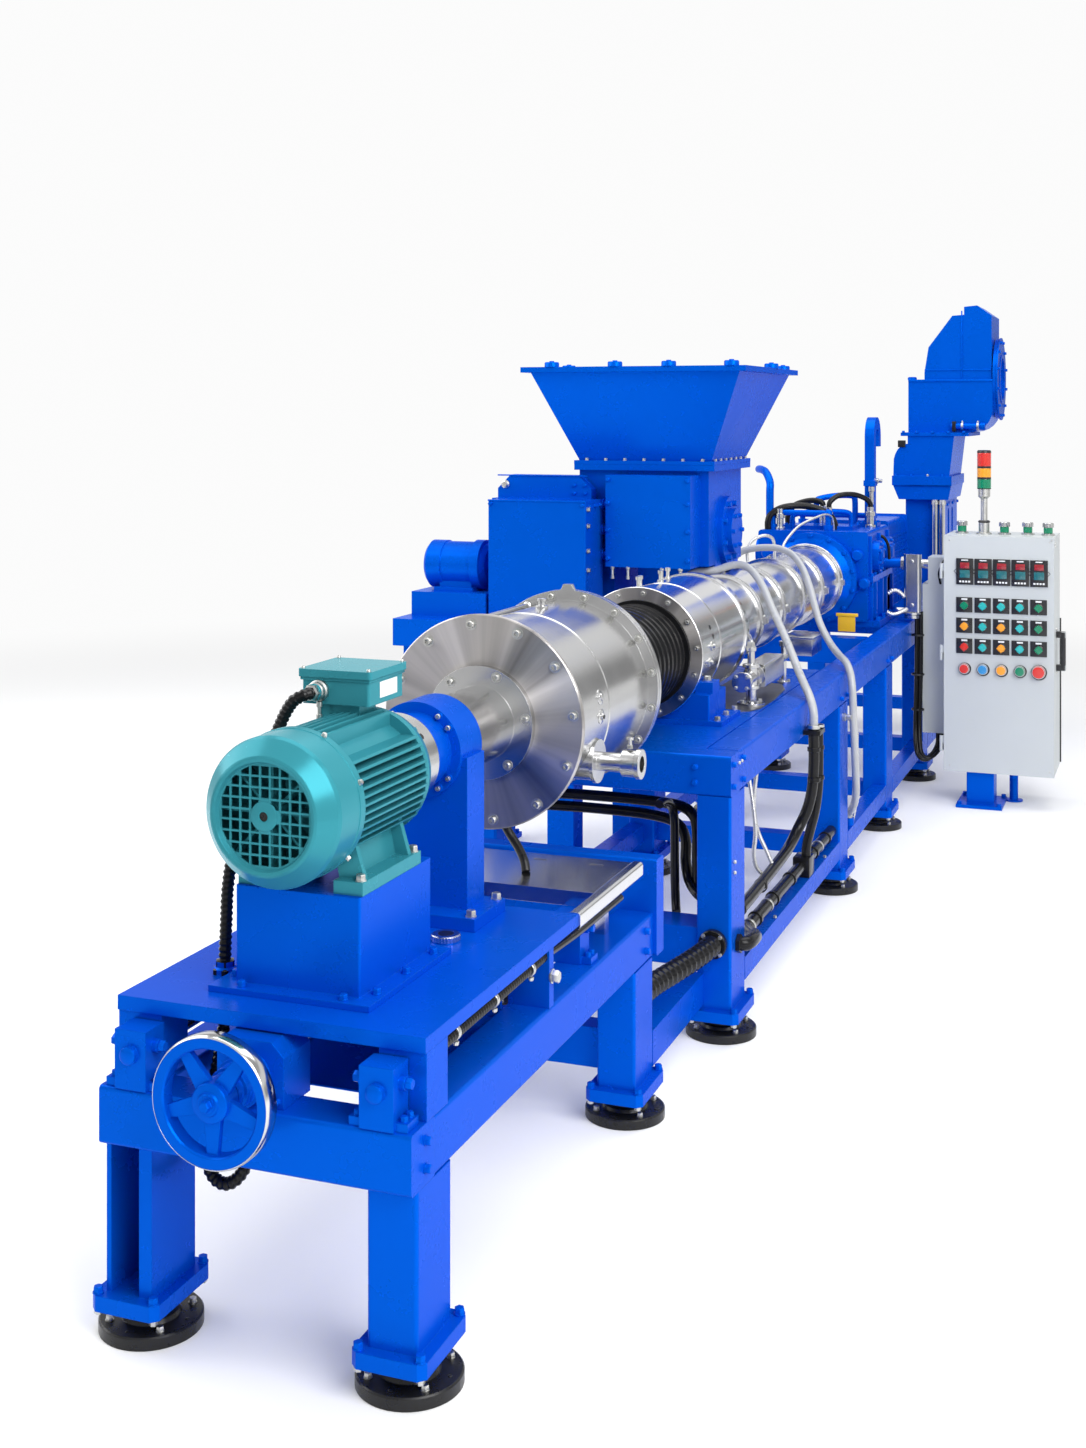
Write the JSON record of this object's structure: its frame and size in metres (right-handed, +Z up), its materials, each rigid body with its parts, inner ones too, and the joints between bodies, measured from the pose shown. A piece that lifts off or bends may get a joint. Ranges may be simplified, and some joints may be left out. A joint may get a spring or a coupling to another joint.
{
  "type": "plastic extruder",
  "caption": "Plastic extruder line with a clad barrel, side feeder with hopper, gearbox and motor, blower tower, cutter drum with its motor on a stand and a control cabinet.",
  "frame": {"origin": "middle of the footprint at floor level", "axes": "+Y along the screw axis from the cutter stand to the drive, +X towards the control cabinet, +Z up"},
  "size_m": [2.24, 7.05, 2.327],
  "materials": {
    "blue_paint": "gloss enamel",
    "teal_paint": "gloss enamel",
    "brushed_stainless": "brushed stainless steel",
    "polished_steel": "ground and polished",
    "grey_sheet": "light grey powder coat",
    "black_iron": "black enamel",
    "black_rubber": "matt rubber cloth",
    "black_sleeve": "ribbed plastic",
    "grey_hose": "smooth plastic",
    "light_lens": "tinted lenses in a steel case"
  },
  "bodies": {
    "machine": {"stand_side_beams": "blue_paint", "stand_cross_beams": "blue_paint", "stand_legs": "blue_paint", "levelling_feet": "black_iron", "rod_blocks": "blue_paint", "guide_rods": "polished_steel", "table_posts": "blue_paint", "cutter_table": "blue_paint", "drain_deck": "brushed_stainless", "screw_gearbox": "blue_paint", "motor_plinth": "blue_paint", "motor_frame": "teal_paint", "fan_cover": "teal_paint", "terminal_box": "teal_paint", "shaft_sleeves": "brushed_stainless", "bearing_pillar": "blue_paint", "drum_front_flange": "brushed_stainless", "drum_shell": "brushed_stainless", "outlet_pipe": "brushed_stainless", "bellows": "black_rubber", "main_side_beams": "blue_paint", "main_cross_beams": "blue_paint", "main_legs": "blue_paint", "lower_rails": "blue_paint", "barrel_pedestal": "blue_paint", "barrel_front_cover": "brushed_stainless", "barrel_covers": "brushed_stainless", "valve_manifold": "brushed_stainless", "gearbox": "blue_paint", "oil_pipes": "blue_paint", "coupling_guard": "blue_paint", "main_motor": "blue_paint", "gooseneck_vent": "blue_paint", "tower_column": "blue_paint", "tower_pipes": "polished_steel", "tower_neck": "blue_paint", "tower_hood": "blue_paint", "fan_casing": "blue_paint", "feeder_base": "blue_paint", "feed_housing": "blue_paint", "hopper": "blue_paint", "belt_guard": "blue_paint", "feeder_motor": "blue_paint", "cabinet_shell": "grey_sheet", "cabinet_pedestal": "blue_paint", "signal_light": "light_lens", "cable_trunk": "grey_sheet", "support_arm": "brushed_stainless", "frame_conduits": "black_sleeve", "front_hose": "grey_hose", "rear_hose": "grey_hose", "motor_conduit": "black_sleeve", "loop_conduit": "black_sleeve", "trunk_cable": "black_sleeve"},
    "wheel": {"handwheel": "blue_paint"},
    "door": {"cabinet_door": "grey_sheet"}
  },
  "joints": [
    {"name": "handwheel_turn", "type": "hinge", "parent": "machine", "child": "wheel", "pos_m": [0.027, -3.502, 0.543], "axis": [0, -1, 0], "continuous": true},
    {"name": "cabinet_door_swing", "type": "hinge", "parent": "machine", "child": "door", "pos_m": [0.591, 1.709, 0.6825], "axis": [0, 0, -1], "range_deg": [0, 100]}
  ]
}
